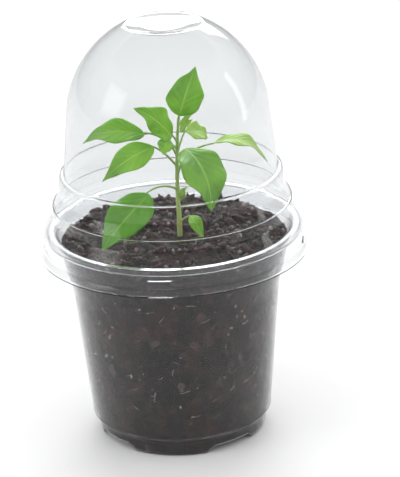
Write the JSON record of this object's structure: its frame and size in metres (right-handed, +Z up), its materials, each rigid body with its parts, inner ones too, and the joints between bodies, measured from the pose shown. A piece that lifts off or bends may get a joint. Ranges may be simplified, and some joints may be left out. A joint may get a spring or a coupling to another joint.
{
  "type": "humidity dome pot",
  "caption": "Clear round nursery pot on arched feet with a tall clear bell dome seated over its rim, filled with potting mix and a young pepper seedling.",
  "frame": {"origin": "centre of the base, in the plane that the pot's feet stand on", "axes": "+Z up along the pot's and dome's axis, -Y the front, +X to the right seen from the front"},
  "size_m": [0.1076, 0.1076, 0.17],
  "materials": {
    "pot_plastic": "clear, slightly milky thermoformed polypropylene",
    "dome_plastic": "clear glossy thermoformed PET",
    "potting_mix": "moist dark peat and bark mix",
    "perlite": "dull porous white grains, stained by the mix",
    "bark": "rough brown bark",
    "stem": "smooth green stem",
    "young_leaf": "pale young growth",
    "leaf": "soft semi-gloss leaf"
  },
  "bodies": {
    "pot": {"pot": "pot_plastic", "potting_mix": "potting_mix", "perlite_grains": "perlite", "bark_chips": "bark", "seedling_stem": "stem", "leaf_stalks": "stem", "growing_tip": "young_leaf", "axil_bud": "young_leaf", "leaf_top": "leaf", "leaf_upper_left": "leaf", "leaf_far_left": "leaf", "leaf_mid_left": "leaf", "leaf_small_centre": "leaf", "leaf_back_right": "leaf", "leaf_large_right": "leaf", "leaf_far_right": "leaf", "leaf_low_left": "leaf", "leaf_low_right": "leaf"},
    "dome": {"humidity_dome": "dome_plastic"}
  },
  "joints": [
    {"name": "dome_lift", "type": "slide", "parent": "pot", "child": "dome", "axis": [0, 0, 1], "range_m": [0, 0.1]}
  ]
}
